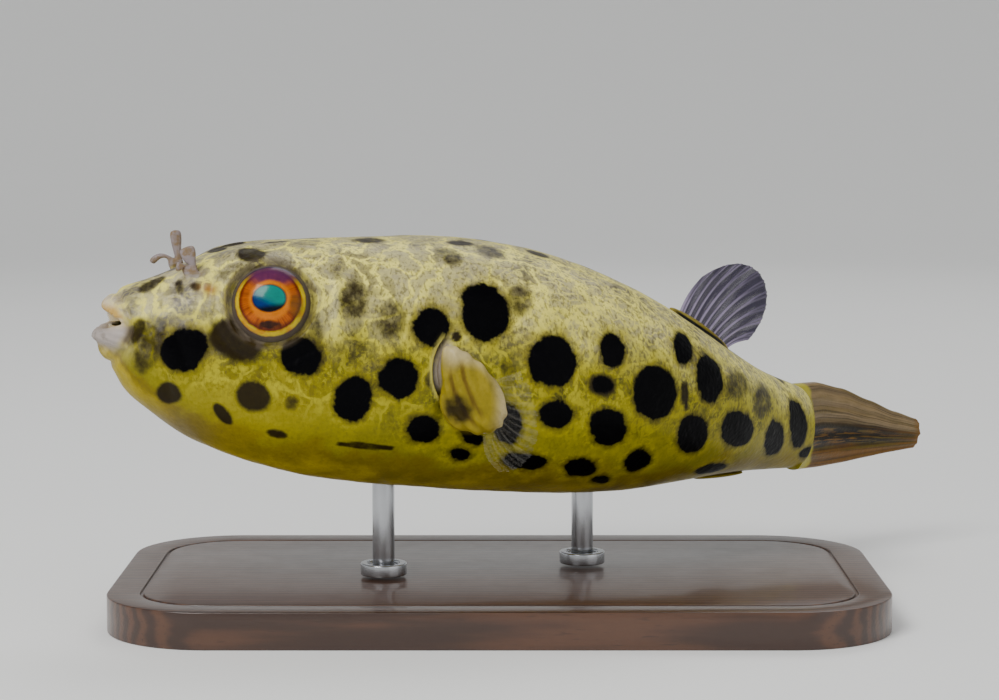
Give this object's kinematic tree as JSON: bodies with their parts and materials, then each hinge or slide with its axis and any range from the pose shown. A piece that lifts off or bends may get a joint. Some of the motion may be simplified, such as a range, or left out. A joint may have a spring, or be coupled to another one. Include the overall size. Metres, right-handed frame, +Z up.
{
  "type": "freshwater pufferfish model",
  "caption": "Life-size model of a spotted freshwater pufferfish swimming with its tail turned away, on a plain flat base with short rods.",
  "frame": {"origin": "centre of the underside of the stand's base", "axes": "-X towards the fish's mouth and +X towards its tail, -Y towards its left side, +Z up"},
  "size_m": [0.0872, 0.0557, 0.038],
  "materials": {
    "skin": "satin, moist-looking, olive yellow with dark round spots and a beige-grey back",
    "lip_skin": "satin, pale lavender cream",
    "tooth": "glossy, golden ivory",
    "fin": "thin, see-through, greyish lilac with fine rays",
    "tail_fin": "satin, olive brown with dark lengthwise streaks",
    "eye": "high gloss, orange and yellow iris with a teal-blue pupil",
    "base_wood": "dark stained, satin",
    "rod_steel": "fine brushed"
  },
  "bodies": {
    "root": {"head": "skin", "trunk": "skin", "belly": "skin", "tail_stalk": "skin", "dorsal_base": "skin", "anal_base": "skin", "pectoral_base_left": "skin", "pectoral_base_right": "skin", "upper_lip": "lip_skin", "lower_lip": "lip_skin", "nostril_feeler_left": "lip_skin", "nostril_feeler_right": "lip_skin", "upper_tooth_plate": "tooth", "lower_tooth_plate": "tooth", "dorsal_fin": "fin", "anal_fin": "fin", "pectoral_fin_left": "fin", "pectoral_fin_right": "fin", "caudal_fin": "tail_fin", "eye_left": "eye", "eye_right": "eye", "stand_base": "base_wood", "stand_rod_front": "rod_steel", "stand_rod_rear": "rod_steel", "stand_collar_front": "rod_steel", "stand_collar_rear": "rod_steel"}
  },
  "joints": []
}
